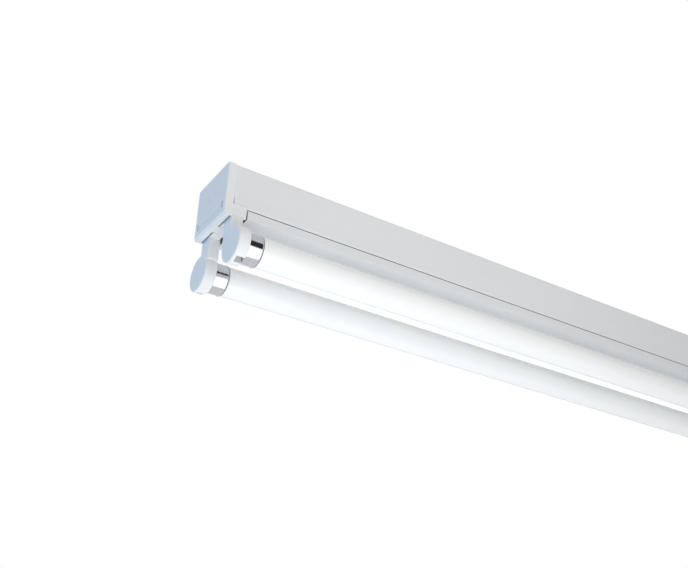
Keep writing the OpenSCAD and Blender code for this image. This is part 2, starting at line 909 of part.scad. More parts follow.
// Terminal block: three poles side by side, each with two clamp screws
module terminal_block() {
    gap_w = 1.2;
    color("ivory")
        translate([terminal_x, 0, -sheet_t])
            difference() {
                translate([0, 0, -terminal_h / 2])
                    cube([terminal_l, terminal_w, terminal_h], center = true);
                for (pole = [-1, 1])
                    translate([-terminal_l, pole * pole_pitch / 2 - gap_w / 2, -terminal_h - cut])
                        cube([2 * terminal_l, gap_w, terminal_h / 2]);
                for (pole = [-1:1])
                    translate([0, pole * pole_pitch, 0]) {
                        translate([-terminal_l, 0, -pole_drop])
                            rod_x(pole_hole_d / 2, 2 * terminal_l);
                        for (end = [-1, 1])
                            translate([end * terminal_l / 4, 0, -terminal_h - cut])
                                cylinder(r = 2, h = terminal_h - pole_drop + cut);
                    }
            }
}

module terminal_screws() {
    color("silver")
        translate([terminal_x, 0, -sheet_t])
            for (pole = [-1:1], end = [-1, 1])
                translate([end * terminal_l / 4, pole * pole_pitch, -terminal_h])
                    difference() {
                        cylinder(r = 1.8, h = terminal_h - pole_drop - pole_hole_d / 2);
                        cube([5, 0.8, 1.6], center = true);
                    }
}

module earth_stud() {
    color("silver")
        translate([earth_x, 0, -sheet_t - earth_l]) {
            cylinder(d = earth_d, h = earth_l);
            translate([0, 0, earth_l - stud_flange_h])
                cylinder(d = earth_d + 4, h = stud_flange_h);
        }
}

module earth_nut() {
    color("goldenrod")
        translate([earth_x, 0, -sheet_t - stud_flange_h - washer_h - nut_h])
            difference() {
                union() {
                    cylinder(r = nut_r, h = nut_h, $fn = 6);
                    translate([0, 0, nut_h])
                        cylinder(r = nut_r + 0.6, h = washer_h);
                }
                translate([0, 0, -cut])
                    cylinder(r = earth_d / 2 + turn_clear, h = nut_h + washer_h + 2 * cut);
            }
}

// Grommet: pushed in from below, flush with the ceiling face
module cable_grommet() {
    flange_t = 1.5;
    sleeve_l = 5;
    color("dimgray")
        translate([entry_x, 0, 0])
            difference() {
                union() {
                    translate([0, 0, -sheet_t])
                        cylinder(d = entry_d, h = sheet_t);
                    translate([0, 0, -sheet_t - flange_t])
                        cylinder(d = entry_d + 5, h = flange_t);
                    translate([0, 0, -sheet_t - sleeve_l])
                        cylinder(d = grommet_bore_d + 3, h = sleeve_l);
                }
                translate([0, 0, -sheet_t - sleeve_l - cut])
                    cylinder(d = grommet_bore_d, h = sheet_t + sleeve_l + 2 * cut);
            }
}

// Wires from the terminal block to the lampholders at one end
function wire_path(end, side) = let (
    face = end * terminal_l / 2 + terminal_x,
    far = end * body_l / 2,
    drop_x = contact_x + contact_w / 2)
    [[face - end * 3, side * pole_pitch, -sheet_t - pole_drop],
    [face + end * 12, side * pole_pitch, -sheet_t - pole_drop],
    [face + end * 34, side * wire_y, -wire_run_z],
    [far - end * 44, side * wire_y, -wire_run_z],
    [far - end * drop_x, side * contact_mid, -holder_top + 10],
    [far - end * drop_x, side * contact_mid, contact_clear - contact_top + contact_t / 2]];

module wires(end) {
    color(end < 0 ? "saddlebrown" : "royalblue")
        for (side = [-1, 1])
            wire(wire_path(end, side), wire_d);
}

module wire_earth() {
    wire_start = terminal_x - terminal_l / 2 + 3;
    wire_end = earth_x + nut_r + 1;
    color("yellowgreen")
        wire([[wire_start, 0, -sheet_t - pole_drop],
            [wire_start - 6, 0, -sheet_t - pole_drop],
            [wire_end, 0, -sheet_t - stud_flange_h - washer_h / 2]], wire_d);
}

module wire_clips() {
    places = [-0.8, -0.45, 0.35, 0.8];
    color("white")
        for (place = places, side = [-1, 1])
            translate([place * (body_l / 2 - 60), side * wire_y, -sheet_t])
                difference() {
                    translate([-clip_l / 2, -clip_w / 2, -wire_run_z])
                        cube([clip_l, clip_w, wire_run_z]);
                    translate([-clip_l, 0, sheet_t - wire_run_z])
                        rod_x(wire_d / 2 + slide_clear / 2, 2 * clip_l);
                    translate([-clip_l, -wire_d / 2 + 0.4, -2 * wire_run_z])
                        cube([2 * clip_l, wire_d - 0.8, 2 * wire_run_z + sheet_t - wire_run_z]);
                }
}

spine();
end_cap(-1);  // end_cap_left
end_cap(1);  // end_cap_right
cover();
bridge(-1);  // bridge_left
bridge(1);  // bridge_right
cover_fastener(-1);  // cover_fastener_left
cover_fastener(1);  // cover_fastener_right
fastener_washer(-1);  // fastener_washer_left
fastener_washer(1);  // fastener_washer_right
holder_body(-1, -1);  // holder_body_front_left
holder_body(1, -1);  // holder_body_front_right
holder_body(-1, 1);  // holder_body_rear_left
holder_body(1, 1);  // holder_body_rear_right
holder_back(-1, -1);  // holder_back_front_left
holder_back(1, -1);  // holder_back_front_right
holder_back(-1, 1);  // holder_back_rear_left
holder_back(1, 1);  // holder_back_rear_right
rotor(-1, -1);  // rotor_front_left
rotor(1, -1);  // rotor_front_right
rotor(-1, 1);  // rotor_rear_left
rotor(1, 1);  // rotor_rear_right
contact(-1, -1);  // contact_front_left
contact(1, -1);  // contact_front_right
contact(-1, 1);  // contact_rear_left
contact(1, 1);  // contact_rear_right
lamp_tube(-1);  // lamp_tube_front
lamp_tube(1);  // lamp_tube_rear
ferrule(-1, -1);  // ferrule_front_left
ferrule(1, -1);  // ferrule_front_right
ferrule(-1, 1);  // ferrule_rear_left
ferrule(1, 1);  // ferrule_rear_right
base_disc(-1, -1);  // base_disc_front_left
base_disc(1, -1);  // base_disc_front_right
base_disc(-1, 1);  // base_disc_rear_left
base_disc(1, 1);  // base_disc_rear_right
lamp_pins(-1);  // lamp_pins_front
lamp_pins(1);  // lamp_pins_rear
led_board(-1);  // led_board_front
led_board(1);  // led_board_rear
led_chips(-1);  // led_chips_front
led_chips(1);  // led_chips_rear
lamp_supply(-1);  // lamp_supply_front
lamp_supply(1);  // lamp_supply_rear
terminal_block();
terminal_screws();
earth_stud();
earth_nut();
cable_grommet();
wires(-1);  // wires_left
wires(1);  // wires_right
wire_earth();
wire_clips();
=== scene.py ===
"""Twin tube light batten: finishes, dark cords of painted shade in the cover joint, cement, light
sources, clamp screws and studio.
"""

import math

import bmesh
import bpy
from mathutils import Matrix, Vector


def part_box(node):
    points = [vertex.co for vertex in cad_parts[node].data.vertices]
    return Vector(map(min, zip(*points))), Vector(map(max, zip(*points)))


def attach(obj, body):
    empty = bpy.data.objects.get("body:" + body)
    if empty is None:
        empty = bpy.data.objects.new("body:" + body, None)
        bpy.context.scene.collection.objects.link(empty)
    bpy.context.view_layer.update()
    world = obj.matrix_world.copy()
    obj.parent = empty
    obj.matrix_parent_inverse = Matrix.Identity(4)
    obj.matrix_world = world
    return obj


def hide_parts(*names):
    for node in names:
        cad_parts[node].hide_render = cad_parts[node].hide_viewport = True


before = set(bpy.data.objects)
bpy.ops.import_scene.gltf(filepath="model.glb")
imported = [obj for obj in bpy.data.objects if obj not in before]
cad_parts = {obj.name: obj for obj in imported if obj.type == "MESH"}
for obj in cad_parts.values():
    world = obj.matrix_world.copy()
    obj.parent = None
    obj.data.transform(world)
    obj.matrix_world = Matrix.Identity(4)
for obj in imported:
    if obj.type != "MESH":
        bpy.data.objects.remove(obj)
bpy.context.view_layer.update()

bl_info = {
    "name": "Tube Light Batten",
    "version": (1, 0, 0),
    "blender": (4, 5, 0),
    "location": "View3D > Sidebar > Batten",
    "description": "Dresses a twin tube light batten and lights it under a soft studio sky",
    "category": "Object",
}

SIDES = ("front", "rear")
ENDS = ("left", "right")
MM = 0.001

# Facets that make a piece look round
TURNED_STEPS = 96
SCREW_FACETS = 32
LENS_FACETS = 16
LENS_RINGS = 6

# Clamp screws of the terminal block
POLES = 3
SCREWS_PER_POLE = 2

# Radians that the bands of a wave texture turn over one unit at a scale of 1
WAVE_RADIANS = 20.0

# Sensor width in millimetres, and the nearest distance in metres that the camera shows
SENSOR_WIDTH = 36.0
CLIP_START = 0.01


def linear(code):
    """Turns an sRGB hex code into linear colour with full alpha."""
    channels = [int(code[i:i + 2], 16) / 255 for i in (1, 3, 5)]
    scaled = [c / 12.92 if c <= 0.04045 else ((c + 0.055) / 1.055) ** 2.4 for c in channels]
    return (*scaled, 1.0)


def colour(name, description, code):
    """A colour that a user may change, given as an sRGB hex code."""
    return bpy.props.FloatVectorProperty(
        name=name, description=description, default=linear(code), size=4, subtype="COLOR",
        min=0.0, max=1.0)


def length(name, description, millimetres):
    """A length that a user may change, given in millimetres."""
    return bpy.props.FloatProperty(
        name=name, description=description, default=millimetres * MM, unit="LENGTH",
        subtype="DISTANCE", precision=5)


def position(name, description, metres):
    """A place or a direction that a user may change, given in metres."""
    return bpy.props.FloatVectorProperty(
        name=name, description=description, default=metres, subtype="TRANSLATION", precision=5)


def wattage(name, description, watts):
    """The power of a light that a user may change."""
    return bpy.props.FloatProperty(
        name=name, description=description, default=watts, unit="POWER")


def brightness(name, description, strength):
    """The strength of a glow that a user may change."""
    return bpy.props.FloatProperty(
        name=name, description=description, default=strength, min=0.0)


class BattenSizes(bpy.types.PropertyGroup):
    lamp_spacing: length("Lamp spacing", "Distance between the two lamp axes", 60.4)
    lamp_drop: length("Lamp drop", "Depth of the lamp axes below the ceiling", 76.4)
    neck_middle: length("Neck middle", "Distance of a lampholder's neck from the middle", 20.8)
    housing_depth: length("Housing depth", "Depth of the housing below the ceiling", 49.0)
    source_length: length("Light source length", "Length of one light source", 3.5)
    source_width: length("Light source width", "Width of one light source", 2.8)
    source_height: length("Light source height", "Height of one light source", 0.8)
    lens_radius: length("Lens radius", "Radius of a light source's round lens", 1.2)
    source_count: bpy.props.IntProperty(
        name="Light sources", description="Number of light sources in one tube", default=48, min=4)
    board_rise: length("Board rise", "Height of the strip board above the lamp axis", 10.073)
    screw_radius: length("Screw radius", "Radius of a clamp screw in the terminal block", 1.8)
    screw_slot: length("Screw slot", "Width of a clamp screw's slot", 0.8)
    pole_pitch: length("Pole pitch", "Distance between the poles of the terminal block", 8.0)
    screw_pitch: length("Screw pitch", "Distance between the two screws of one pole", 10.0)
    # Painted shade: the three sizes below place dark rubber cords in the cover joint, which stand
    # in for the shadow line of the open joint between spine and cover
    seal_radius: length("Seal radius", "Radius of the rubber cord in the cover joint", 0.3)
    seal_across: length("Seal across", "Distance of the rubber cord from the middle", 28.0)
    seal_drop: length("Seal drop", "Depth of the rubber cord below the ceiling face", 39.96)
    cement_radius: length("Cement radius", "Outer radius of the cement behind a ferrule", 13.35)
    cement_width: length("Cement width", "Width of the cement behind a ferrule", 0.6)


class BattenColours(bpy.types.PropertyGroup):
    enamel: colour("Enamel", "Stove enamel on the folded steel", "#EEF0F1")
    moulding: colour("Moulding", "Polycarbonate of caps, clips and lampholders", "#F1F3F4")
    rotor: colour("Rotor", "Moulded rotors in the lampholders", "#E4E6E8")
    tube: colour("Tube", "White diffusing coat of the glass tubes", "#FCFDFD")
    aluminium: colour("Aluminium", "Drawn ferrules of the lamps", "#E3E4E6")
    brass: colour("Brass", "Turned pins and the earth nut", "#D9B871")
    bronze: colour("Bronze", "Rolled spring contacts", "#C99A5A")
    zinc: colour("Zinc", "Plate on the fasteners, washers, stud and clamp screws", "#C3C6CA")
    insulator: colour("Insulator", "Pressed insulating discs of the lamps", "#D2CFC4")
    resist: colour("Solder resist", "White resist on the strip boards", "#EEEFEA")
    package: colour("Package", "White housing of a light source", "#F4F2EA")
    phosphor: colour("Phosphor", "Silicone and phosphor lens of a light source", "#F2D25A")
    board: colour("Board", "Glass fibre board of the power supply", "#1F5A3C")
    terminal: colour("Terminal", "Polyamide of the terminal block", "#DAD5C6")
    # The grommet is real rubber; the same colour also darkens the cords in the cover joint, which
    # are painted shade of the open joint
    rubber: colour("Rubber", "Grommet and the seals in the cover joint", "#232324")
    brown: colour("Brown wire", "Insulation of the live wires", "#5B3420")
    blue: colour("Blue wire", "Insulation of the neutral wires", "#2450A0")
    green: colour("Green stripe", "Darker stripe of the earth wire", "#2F7D32")
    yellow: colour("Yellow stripe", "Paler stripe of the earth wire", "#E3D23A")
    backdrop: colour("Backdrop", "Floor, background and white screen", "#FFFFFF")
    cement: colour("Cement", "Lamp cement behind the ferrules", "#3A3A3C")
    card: colour("Card", "Black card that shows only in reflections", "#101011")
    lamplight: colour("Lamplight", "Tint of the key, side and rear lights", "#FFFFFF")
    daylight: colour("Daylight", "Tint of the cool light beyond the left end", "#9ACFFF")
    sky: colour("Sky", "Tint of the light from the sky", "#F8F8F7")
    mirrored_sky: colour("Mirrored sky", "Tint of the sky in reflections", "#F1F1F6")


class BattenStudio(bpy.types.PropertyGroup):
    camera_place: position(
        "Camera place", "Where the camera stands", (-0.87025, -0.61758, -0.44883))
    camera_turn: bpy.props.FloatVectorProperty(
        name="Camera turn", description="Tilt, roll and heading of the camera", subtype="EULER",
        default=(math.radians(118.133), math.radians(-1.709), math.radians(-32.839)))
    lens: bpy.props.FloatProperty(
        name="Lens", description="Focal length on a sensor 36 mm wide, in millimetres",
        default=49.106)
    floor_drop: length("Floor drop", "Depth of the studio floor below the ceiling face", 1600.0)
    floor_half: length("Floor half", "Half the side of the square studio floor", 4000.0)
    key_power: wattage("Key light", "Power of the soft light below and in front", 3.45)
    key_width: length("Key light width", "Side of the square key light", 600.0)
    key_place: position("Key light place", "Measured from the left end", (0.15, -0.5, -0.75))
    side_power: wattage("Side light", "Power of the soft light level with the front side", 2.0)
    side_width: length("Side light width", "Side of the square side light", 700.0)
    side_place: position("Side light place", "Measured from the left end", (0.05, -0.85, 0.15))
    rear_power: wattage("Rear light", "Power of the soft light below and behind", 1.3)
    rear_width: length("Rear light width", "Side of the square rear light", 500.0)
    rear_place: position("Rear light place", "Measured from the left end", (0.15, 0.45, -0.8))
    end_power: wattage("End light", "Power of the cool light beyond the left end", 7.6)
    end_width: length("End light width", "Side of the square end light", 800.0)
    end_place: position("End light place", "Measured from the left end", (-1.3, 0.2, -0.35))
    card_half: length("Card half", "Half the width of the black card and of the screen", 120.0)
    card_place: position("Card place", "Measured from the left end", (0.65, -1.45, 0.5))
    card_rise: position("Card rise", "From the card's middle to its upper edge", (0, 0, 0.58))
    screen_place: position("Screen place", "Measured from the left end", (0.45, -0.82, -0.78))
    screen_rise: position("Screen rise", "From the screen's middle to its edge", (0, 0.64, -0.7))
    screen_glow: brightness("Screen glow", "Strength of the white screen", 1.1)
    sky: brightness("Sky", "Strength of the soft light from below", 0.08)
    ceiling: brightness("Ceiling", "Strength of the soft light from above", 0.68)
    mirrored_sky: brightness("Mirrored sky", "Strength of reflections from below", 0.85)
    mirrored_ceiling: brightness("Mirrored ceiling", "Strength of reflections from above", 0.72)


def sizes():
    return bpy.context.scene.batten_sizes


def colours():
    return bpy.context.scene.batten_colours


def studio():
    return bpy.context.scene.batten_studio


def add(tree, kind, inputs=None, **settings):
    """Adds a node. Settings go on the node itself. Inputs are values, or sockets to link."""
    node = tree.nodes.new(kind)
    for name, value in settings.items():
        setattr(node, name, value)
    for name, value in (inputs or {}).items():
        if isinstance(value, bpy.types.NodeSocket):
            tree.links.new(value, node.inputs[name])
        else:
            node.inputs[name].default_value = value
    return node


def per_mm(size):
    """Scale that gives a pattern of that size in millimetres."""
    return 1.0 / (size * MM)


class Finish:
    """A material under way: its tree, its surface shader and its object coordinates."""

    def __init__(self, name, base, roughness, metallic=0.0, ior=1.5, coat=0.0,
                 coat_roughness=0.08):
        self.material = bpy.data.materials.new(name)
        self.material.use_nodes = True
        self.material.diffuse_color = base
        self.tree = self.material.node_tree
        self.shader = self.tree.nodes["Principled BSDF"]
        self.shader.inputs["Base Color"].default_value = base
        self.shader.inputs["Roughness"].default_value = roughness
        self.shader.inputs["Metallic"].default_value = metallic
        self.shader.inputs["IOR"].default_value = ior
        self.shader.inputs["Coat Weight"].default_value = coat
        self.shader.inputs["Coat Roughness"].default_value = coat_roughness
        self.place = add(self.tree, "ShaderNodeTexCoord").outputs["Object"]

    def grain(self, size_mm, detail=2.0, stretch=(1.0, 1.0, 1.0)):
        """A pattern whose grains are that size, drawn out along an axis by a small stretch."""
        mapped = add(self.tree, "ShaderNodeMapping", {"Vector": self.place, "Scale": stretch})
        return add(self.tree, "ShaderNodeTexNoise", {
            "Vector": mapped.outputs["Vector"], "Scale": per_mm(size_mm),
            "Detail": detail}).outputs["Fac"]

    def blend(self, factor, first, second, low=0.35, high=0.65):
        """Colours the surface between two colours where the factor runs from low to high."""
        spread = add(self.tree, "ShaderNodeMapRange", {
            "Value": factor, "From Min": low, "From Max": high})
        mixed = add(self.tree, "ShaderNodeMix", {
            "Factor": spread.outputs["Result"], "A": first, "B": second}, data_type="RGBA")
        self.tree.links.new(mixed.outputs["Result"], self.shader.inputs["Base Color"])

    def gloss(self, factor, smooth, rough, low=0.3, high=0.7):
        """Varies the roughness between two values."""
        spread = add(self.tree, "ShaderNodeMapRange", {
            "Value": factor, "From Min": low, "From Max": high, "To Min": smooth,
            "To Max": rough})
        self.tree.links.new(spread.outputs["Result"], self.shader.inputs["Roughness"])

    def relief(self, height, depth_mm):
        """Raises the surface by up to a depth in millimetres."""
        raised = add(self.tree, "ShaderNodeBump", {
            "Height": height, "Distance": depth_mm * MM, "Strength": 1.0})
        self.tree.links.new(raised.outputs["Normal"], self.shader.inputs["Normal"])


def shade(base, factor):
    """The same colour, lighter or darker by a factor."""
    return (*(min(1.0, c * factor) for c in base[:3]), 1.0)


def stove_enamel():
    """White stove enamel sprayed on sheet steel: a soft gloss over a faint orange peel."""
    base = colours().enamel
    finish = Finish("stove_enamel", base, 0.34, ior=1.5, coat=0.25)
    cloud = finish.grain(70.0, detail=3.0)
    peel = finish.grain(1.6, detail=1.0)
    finish.blend(cloud, shade(base, 0.975), base)
    finish.gloss(finish.grain(9.0), 0.3, 0.4)
    finish.relief(peel, 0.012)
    return finish.material


def moulded_polycarbonate(name, base, grain_mm):
    """White moulded polycarbonate: even colour and a fine spark eroded grain, satin gloss."""
    finish = Finish(name, base, 0.36, ior=1.58)
    finish.blend(finish.grain(18.0, detail=3.0), shade(base, 0.98), base)
    finish.gloss(finish.grain(4.0), 0.3, 0.44)
    finish.relief(finish.grain(grain_mm, detail=2.0), 0.01)
    return finish.material


def coated_glass():
    """Glass tube with a white powder coat inside: clear gloss over a slightly cloudy white."""
    base = colours().tube
    finish = Finish("coated_glass", base, 0.24, ior=1.52, coat=0.5)
    cloud = finish.grain(24.0, detail=2.0, stretch=(0.35, 1.0, 1.0))
    finish.blend(cloud, shade(base, 0.99), base)
    finish.gloss(finish.grain(14.0), 0.24, 0.27)
    finish.relief(finish.grain(45.0, stretch=(0.2, 1.0, 1.0)), 0.02)
    return finish.material


def drawn_aluminium():
    """Deep drawn aluminium: bright metal with fine rings round the cup from the drawing die."""
    base = colours().aluminium
    finish = Finish("drawn_aluminium", base, 0.2, metallic=1.0)
    rings = finish.grain(1.2, detail=3.0, stretch=(4.0, 0.05, 0.05))
    finish.blend(rings, shade(base, 0.86), base)
    finish.gloss(rings, 0.06, 0.12)
    finish.relief(rings, 0.002)
    return finish.material


def turned_brass():
    """Turned brass pins and nut: warm metal with fine tool rings along the axis."""
    base = colours().brass
    finish = Finish("turned_brass", base, 0.25, metallic=1.0)
    rings = finish.grain(0.4, detail=2.0, stretch=(3.0, 0.2, 0.2))
    finish.blend(rings, shade(base, 0.85), base)
    finish.gloss(rings, 0.18, 0.34)
    finish.relief(rings, 0.003)
    return finish.material


def rolled_bronze():
    """Rolled phosphor bronze strip: dull warm metal with rolling marks along the strip."""
    base = colours().bronze
    finish = Finish("rolled_bronze", base, 0.35, metallic=1.0)
    marks = finish.grain(0.8, detail=3.0, stretch=(0.2, 1.0, 3.0))
    finish.blend(marks, shade(base, 0.8), base)
    finish.gloss(marks, 0.28, 0.44)
    return finish.material


def zinc_plate():
    """Bright zinc plate on steel: cool metal, faintly mottled where the plate is thicker."""
    base = colours().zinc
    finish = Finish("zinc_plate", base, 0.3, metallic=1.0)
    mottle = finish.grain(1.5, detail=4.0)
    finish.blend(mottle, shade(base, 0.85), base)
    finish.gloss(mottle, 0.22, 0.4)
    finish.relief(finish.grain(0.5), 0.005)
    return finish.material


def pressed_insulator():
    """Pressed phenolic insulator: matt and faintly speckled by its filler."""
    base = colours().insulator
    finish = Finish("pressed_insulator", base, 0.6, ior=1.6)
    finish.blend(finish.grain(0.7, detail=3.0), shade(base, 0.88), base)
    finish.relief(finish.grain(0.5), 0.01)
    return finish.material


def lamp_cement():
    """Baked lamp cement squeezed out behind a ferrule: dull grey and finely gritty."""
    base = colours().cement
    finish = Finish("lamp_cement", base, 0.85)
    finish.blend(finish.grain(0.8, detail=3.0), shade(base, 0.8), base)
    finish.relief(finish.grain(0.3), 0.02)
    return finish.material


def solder_resist():
    """White solder resist printed on a strip board: even, with a slight silk gloss."""
    base = colours().resist
    finish = Finish("solder_resist", base, 0.4, ior=1.55)
    finish.blend(finish.grain(5.0), shade(base, 0.95), base)
    finish.relief(finish.grain(0.6), 0.004)
    return finish.material


def package_white():
    """Reflective polyphthalamide of a light source: a dense, slightly warm white."""
    base = colours().package
    finish = Finish("package_white", base, 0.45, ior=1.6)
    finish.blend(finish.grain(0.5), shade(base, 0.96), base)
    return finish.material


def phosphor_silicone():
    """Silicone lens filled with phosphor: glossy yellow with a fine grain."""
    base = colours().phosphor
    finish = Finish("phosphor_silicone", base, 0.25, ior=1.41, coat=0.3)
    finish.blend(finish.grain(0.25, detail=3.0), shade(base, 0.9), base)
    finish.relief(finish.grain(0.3), 0.006)
    return finish.material


def glass_fibre_board():
    """Green glass fibre board: the weave of the cloth shows through the resist."""
    base = colours().board
    finish = Finish("glass_fibre_board", base, 0.35, ior=1.55)
    thread_mm = 0.6
    weave = add(finish.tree, "ShaderNodeTexChecker", {
        "Vector": finish.place, "Scale": per_mm(thread_mm)})
    finish.blend(weave.outputs["Fac"], shade(base, 0.9), base, low=0.0, high=1.0)
    finish.gloss(finish.grain(3.0), 0.28, 0.42)
    return finish.material


def moulded_polyamide():
    """Moulded polyamide of the terminal block: warm off white, matt, with a fine grain."""
    base = colours().terminal
    finish = Finish("moulded_polyamide", base, 0.5, ior=1.53)
    finish.blend(finish.grain(6.0, detail=3.0), shade(base, 0.95), base)
    finish.relief(finish.grain(0.5), 0.012)
    return finish.material


def moulded_rubber():
    """Moulded black rubber: deep matt grey with a powdery bloom."""
    base = colours().rubber
    finish = Finish("moulded_rubber", base, 0.75, ior=1.52)
    finish.blend(finish.grain(4.0, detail=4.0), base, shade(base, 1.6))
    finish.relief(finish.grain(0.6), 0.015)
    return finish.material


def wire_insulation(name, base):
    """Extruded insulation of a single wire: even colour with a soft gloss."""
    finish = Finish(name, base, 0.4, ior=1.53)
    finish.blend(finish.grain(8.0, stretch=(0.2, 1.0, 1.0)), shade(base, 0.92), base)
    finish.gloss(finish.grain(2.0), 0.35, 0.48)
    return finish.material


def striped_insulation():
    """Earth wire insulation: green and yellow stripes side by side along the wire."""
    finish = Finish("striped_insulation", colours().green, 0.4, ior=1.53)
    stripe_pair_mm = 7.54
    stripes = add(finish.tree, "ShaderNodeTexWave", {
        "Vector": finish.place, "Scale": 2 * math.pi * per_mm(stripe_pair_mm) / WAVE_RADIANS},
        bands_direction="Y")
    finish.blend(
        stripes.outputs["Fac"], colours().green, colours().yellow, low=0.49, high=0.51)
    return finish.material


def shared(make):
    """The material that a function makes and is named after, made at its first use."""
    return bpy.data.materials.get(make.__name__) or make()


def dress(nodes, material):
    """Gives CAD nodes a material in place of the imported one."""
    for node in nodes:
        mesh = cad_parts[node].data
        if not mesh.materials:
            mesh.materials.append(material)
        for slot in range(len(mesh.materials)):
            mesh.materials[slot] = material


def of_each(prefix):
    """Names of the nodes of one kind on every side and end."""
    return [f"{prefix}_{side}_{end}" for side in SIDES for end in ENDS]


def new_tree(name, inputs):
    """A geometry tree with named inputs, its input node and an empty output."""
    tree = bpy.data.node_groups.new(name, "GeometryNodeTree")
    tree.interface.new_socket("Geometry", in_out="OUTPUT", socket_type="NodeSocketGeometry")
    for label, kind in inputs.items():
        tree.interface.new_socket(label, in_out="INPUT", socket_type=f"NodeSocket{kind}")
    return tree, tree.nodes.new("NodeGroupInput")


def close_tree(tree, geometry, material):
    """Ends a tree: instances made real, then the finish."""
    real = add(tree, "GeometryNodeRealizeInstances", {"Geometry": geometry})
    dressed = add(tree, "GeometryNodeSetMaterial", {
        "Geometry": real.outputs["Geometry"], "Material": material})
    output = tree.nodes.new("NodeGroupOutput")
    tree.links.new(dressed.outputs["Geometry"], output.inputs["Geometry"])


def grown(name, tree, values, place):
    """Runs a tree and keeps what it makes as a plain mesh, set in place."""
    host = bpy.data.objects.new(name, bpy.data.meshes.new(name))
    bpy.context.scene.collection.objects.link(host)
    modifier = host.modifiers.new(name, "NODES")
    modifier.node_group = tree
    for item in tree.interface.items_tree:
        if item.in_out == "INPUT":
            modifier[item.identifier] = values[item.name]
    depsgraph = bpy.context.evaluated_depsgraph_get()
    mesh = bpy.data.meshes.new_from_object(host.evaluated_get(depsgraph))
    host.modifiers.remove(modifier)
    mesh.name = name
    mesh.transform(place)
    if place.determinant() < 0:
        mesh.flip_normals()
    host.data = mesh
    return host


def turned(name, profile, across, drop, material):
    """A closed profile of (along, radius) points turned about a line along the batten."""
    build = bmesh.new()
    loop = [build.verts.new((along, across, -drop - radius)) for along, radius in profile]
    edges = [build.edges.new(ends) for ends in zip(loop, loop[1:] + loop[:1])]
    bmesh.ops.spin(
        build, geom=loop + edges, cent=(0, across, -drop), axis=(1, 0, 0),
        angle=2 * math.pi, steps=TURNED_STEPS, use_merge=True)
    bmesh.ops.recalc_face_normals(build, faces=build.faces)
    mesh = bpy.data.meshes.new(name)
    build.to_mesh(mesh)
    build.free()
    mesh.materials.append(material)
    piece = bpy.data.objects.new(name, mesh)
    bpy.context.scene.collection.objects.link(piece)
    return piece


def lamp_frame(side):
    """Place of a lamp's own axes: X along the lamp, Z towards its strip board."""
    across = sizes().lamp_spacing / 2
    tilt = math.atan2(across - sizes().neck_middle, sizes().lamp_drop - sizes().housing_depth)
    place = Matrix.Translation((0, across, -sizes().lamp_drop)) @ Matrix.Rotation(tilt, 4, "X")
    if side == "front":
        return Matrix.Diagonal((1, -1, 1, 1)) @ place
    return place


def package_tree(material):
    """A row of light source packages: a low block with a round well for the lens."""
    tree, given = new_tree("light_source_packages", {
        "Count": "Int", "Row": "Float", "Length": "Float", "Width": "Float", "Height": "Float",
        "Well Radius": "Float", "Well Depth": "Float"})
    size = add(tree, "ShaderNodeCombineXYZ", {
        "X": given.outputs["Length"], "Y": given.outputs["Width"], "Z": given.outputs["Height"]})
    block = add(tree, "GeometryNodeMeshCube", {"Size": size.outputs["Vector"]})
    cutter = add(tree, "GeometryNodeMeshCylinder", {
        "Vertices": LENS_FACETS, "Radius": given.outputs["Well Radius"],
        "Depth": given.outputs["Well Depth"]})
    half = add(tree, "ShaderNodeMath", {
        0: given.outputs["Height"], 1: -0.5}, operation="MULTIPLY")
    lowered = add(tree, "ShaderNodeCombineXYZ", {"Z": half.outputs["Value"]})
    moved = add(tree, "GeometryNodeTransform", {
        "Geometry": cutter.outputs["Mesh"], "Translation": lowered.outputs["Vector"]})
    well = add(tree, "GeometryNodeMeshBoolean", {
        "Mesh 1": block.outputs["Mesh"], "Mesh 2": moved.outputs["Geometry"]},
        operation="DIFFERENCE")
    row = row_of(tree, given, well.outputs["Mesh"])
    close_tree(tree, row, material)
    return tree


def row_of(tree, given, geometry):
    """Sets copies of a shape evenly along X about the middle."""
    half = add(tree, "ShaderNodeMath", {0: given.outputs["Row"], 1: -0.5}, operation="MULTIPLY")
    start = add(tree, "ShaderNodeCombineXYZ", {"X": half.outputs["Value"]})
    stop = add(tree, "ShaderNodeVectorMath", {
        0: start.outputs["Vector"], "Scale": -1.0}, operation="SCALE")
    line = add(tree, "GeometryNodeMeshLine", {
        "Count": given.outputs["Count"], "Start Location": start.outputs["Vector"],
        "Offset": stop.outputs["Vector"]}, mode="END_POINTS")
    placed = add(tree, "GeometryNodeInstanceOnPoints", {
        "Points": line.outputs["Mesh"], "Instance": geometry})
    return placed.outputs["Instances"]


def lens_tree(material):
    """A row of round lenses that fill the wells of the packages with a low crown."""
    tree, given = new_tree("light_source_lenses", {
        "Count": "Int", "Row": "Float", "Radius": "Float", "Crown": "Float"})
    ball = add(tree, "GeometryNodeMeshUVSphere", {
        "Segments": LENS_FACETS, "Rings": LENS_RINGS, "Radius": given.outputs["Radius"]})
    flat = add(tree, "ShaderNodeCombineXYZ", {"X": 1.0, "Y": 1.0, "Z": given.outputs["Crown"]})
    crown = add(tree, "GeometryNodeTransform", {
        "Geometry": ball.outputs["Mesh"], "Scale": flat.outputs["Vector"]})
    row = row_of(tree, given, crown.outputs["Geometry"])
    close_tree(tree, row, material)
    return tree


